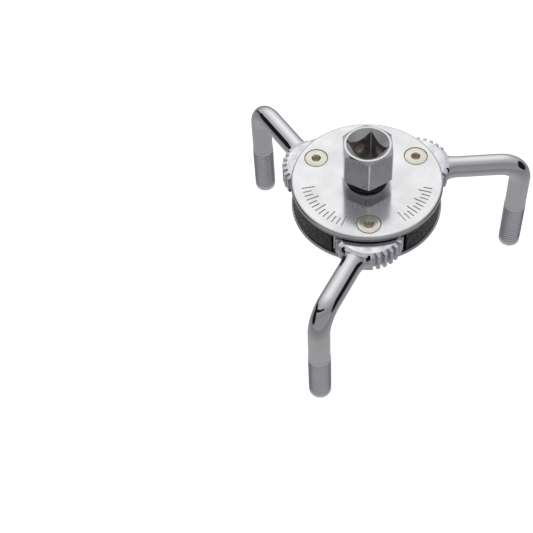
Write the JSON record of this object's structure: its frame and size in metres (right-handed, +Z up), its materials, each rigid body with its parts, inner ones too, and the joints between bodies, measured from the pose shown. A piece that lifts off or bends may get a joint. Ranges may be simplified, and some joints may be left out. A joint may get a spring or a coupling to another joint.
{
  "type": "oil filter wrench",
  "caption": "Geared oil filter wrench: a round casing with cranked legs that swing together about their pivots when the square drive socket on top is turned.",
  "frame": {"origin": "on the casing's axis, level with the flat ends of the legs, where the tool stands", "axes": "+Z up the casing's axis towards the drive socket, -Y towards the front leg's pivot"},
  "size_m": [0.1038, 0.1064, 0.0699],
  "materials": {
    "bright_plate": "satin bright zinc plate",
    "chrome": "chrome plate, satin on the gripping ends",
    "nickel_screw": "warm nickel plate",
    "black_pad": "fine-grained matte black",
    "grey_steel": "bare satin steel",
    "black_rubber": "matte black",
    "bronze": "plain turned bearing bronze",
    "spring_steel": "dark oiled spring steel"
  },
  "bodies": {
    "casing": {"top_plate": "bright_plate", "bottom_plate": "grey_steel", "spacer_block_back": "grey_steel", "grip_pad_back": "black_pad", "spacer_screw_back": "nickel_screw", "spacer_block_right": "grey_steel", "grip_pad_right": "black_pad", "spacer_screw_right": "nickel_screw", "spacer_block_left": "grey_steel", "grip_pad_left": "black_pad", "spacer_screw_left": "nickel_screw", "hub_washer_front": "grey_steel", "pivot_screw_front": "nickel_screw", "pivot_sleeve_front": "bronze", "pivot_nut_front": "nickel_screw", "hub_washer_right": "grey_steel", "pivot_screw_right": "nickel_screw", "pivot_sleeve_right": "bronze", "pivot_nut_right": "nickel_screw", "hub_washer_left": "grey_steel", "pivot_screw_left": "nickel_screw", "pivot_sleeve_left": "bronze", "pivot_nut_left": "nickel_screw", "upper_bush": "bronze", "lower_bush": "bronze"},
    "drive": {"drive_socket": "chrome", "sun_gear": "grey_steel", "dust_seal": "black_rubber", "retaining_clip": "spring_steel"},
    "leg_front": {"leg_front": "chrome"},
    "leg_right": {"leg_right": "chrome"},
    "leg_left": {"leg_left": "chrome"}
  },
  "joints": [
    {"name": "drive_turn", "type": "hinge", "parent": "casing", "child": "drive", "pos_m": [0, 0, 0.05], "axis": [0, 0, 1], "range_deg": [-101, 33.5]},
    {"name": "leg_front_swing", "type": "hinge", "parent": "casing", "child": "leg_front", "pos_m": [0, -0.0206, 0.0446], "axis": [0, 0, 1], "range_deg": [-27, 81]},
    {"name": "leg_right_swing", "type": "hinge", "parent": "casing", "child": "leg_right", "pos_m": [0.01784, 0.0103, 0.0446], "axis": [0, 0, 1], "range_deg": [-27, 81]},
    {"name": "leg_left_swing", "type": "hinge", "parent": "casing", "child": "leg_left", "pos_m": [-0.01784, 0.0103, 0.0446], "axis": [0, 0, 1], "range_deg": [-27, 81]}
  ],
  "couplings": [
    {"joint": "leg_front_swing", "follows": "drive_turn", "ratio": -0.8},
    {"joint": "leg_right_swing", "follows": "drive_turn", "ratio": -0.8},
    {"joint": "leg_left_swing", "follows": "drive_turn", "ratio": -0.8}
  ]
}
